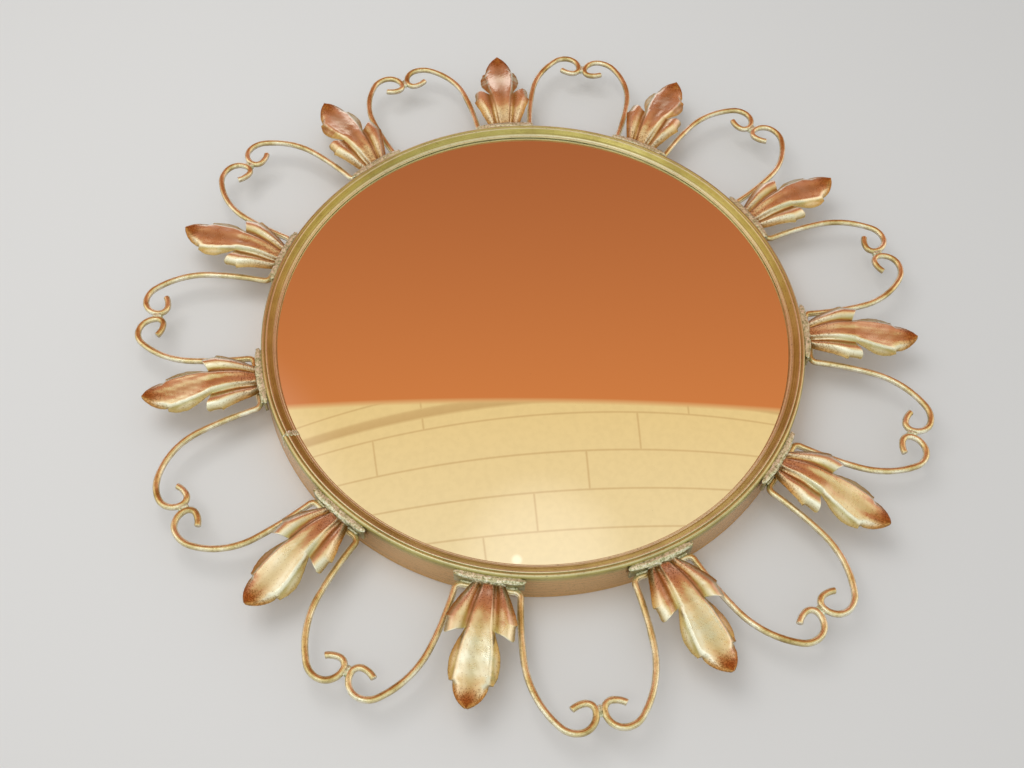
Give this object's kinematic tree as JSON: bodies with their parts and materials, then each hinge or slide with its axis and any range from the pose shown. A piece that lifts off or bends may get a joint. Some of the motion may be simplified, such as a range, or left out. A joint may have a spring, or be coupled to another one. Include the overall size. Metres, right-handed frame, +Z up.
{
  "type": "sunburst wall mirror",
  "caption": "Round convex wall mirror in a rolled brass rim, with stamped brass leaves and bent-rod heart scrolls all round, and a hinged hanging ring on its back.",
  "frame": {"origin": "centre of the rim's back circle, in the plane of the wall", "axes": "+Z up as it hangs with one leaf straight up, the glass faces -Y, the wall is the plane Y = 0 behind it, +X is the viewer's right"},
  "size_m": [0.5168, 0.0393, 0.5139],
  "materials": {
    "rolled_brass": "polished brass strip with a thin olive-gold lacquer, a little worn along the crest",
    "stamped_brass": "thin stamped brass, satin, paler on the ribs and darker and stippled at the tip",
    "brass_rod": "drawn brass rod, warm and slightly toned",
    "soldered_plate": "brass plate dulled by solder and a greenish bloom",
    "sheet_brass": "plain sheet brass",
    "rivet_brass": "plain brass, heads slightly rounded",
    "brass_wire": "drawn brass wire",
    "solder": "soft solder, dull grey with a green-gold tinge; brushed_steel stands in for it",
    "silvered_glass": "back-silvered convex glass",
    "hardboard": "brown hardboard, smooth face out",
    "packing_card": "grey-brown packing card; wood stands in for it"
  },
  "bodies": {
    "mirror": {"rim": "rolled_brass", "rim_seam": "solder", "mirror_glass": "silvered_glass", "packing_strip": "packing_card", "backing_board": "hardboard", "retaining_tabs": "sheet_brass", "hanger_strap": "sheet_brass", "hanger_rivets": "rivet_brass", "heart_solder": "solder", "base_plate_1": "soldered_plate", "base_plate_2": "soldered_plate", "base_plate_3": "soldered_plate", "base_plate_4": "soldered_plate", "base_plate_5": "soldered_plate", "base_plate_6": "soldered_plate", "base_plate_7": "soldered_plate", "base_plate_8": "soldered_plate", "base_plate_9": "soldered_plate", "base_plate_10": "soldered_plate", "base_plate_11": "soldered_plate", "leaf_1": "stamped_brass", "leaf_2": "stamped_brass", "leaf_3": "stamped_brass", "leaf_4": "stamped_brass", "leaf_5": "stamped_brass", "leaf_6": "stamped_brass", "leaf_7": "stamped_brass", "leaf_8": "stamped_brass", "leaf_9": "stamped_brass", "leaf_10": "stamped_brass", "leaf_11": "stamped_brass", "scroll_left_1": "brass_rod", "scroll_left_2": "brass_rod", "scroll_left_3": "brass_rod", "scroll_left_4": "brass_rod", "scroll_left_5": "brass_rod", "scroll_left_6": "brass_rod", "scroll_left_7": "brass_rod", "scroll_left_8": "brass_rod", "scroll_left_9": "brass_rod", "scroll_left_10": "brass_rod", "scroll_left_11": "brass_rod", "scroll_right_1": "brass_rod", "scroll_right_2": "brass_rod", "scroll_right_3": "brass_rod", "scroll_right_4": "brass_rod", "scroll_right_5": "brass_rod", "scroll_right_6": "brass_rod", "scroll_right_7": "brass_rod", "scroll_right_8": "brass_rod", "scroll_right_9": "brass_rod", "scroll_right_10": "brass_rod", "scroll_right_11": "brass_rod"},
    "ring": {"hanger_ring": "brass_wire"}
  },
  "joints": [
    {"name": "hanger_swing", "type": "hinge", "parent": "mirror", "child": "ring", "pos_m": [0, -0.00637, 0.112], "axis": [1, 0, 0], "range_deg": [0, 180]}
  ]
}
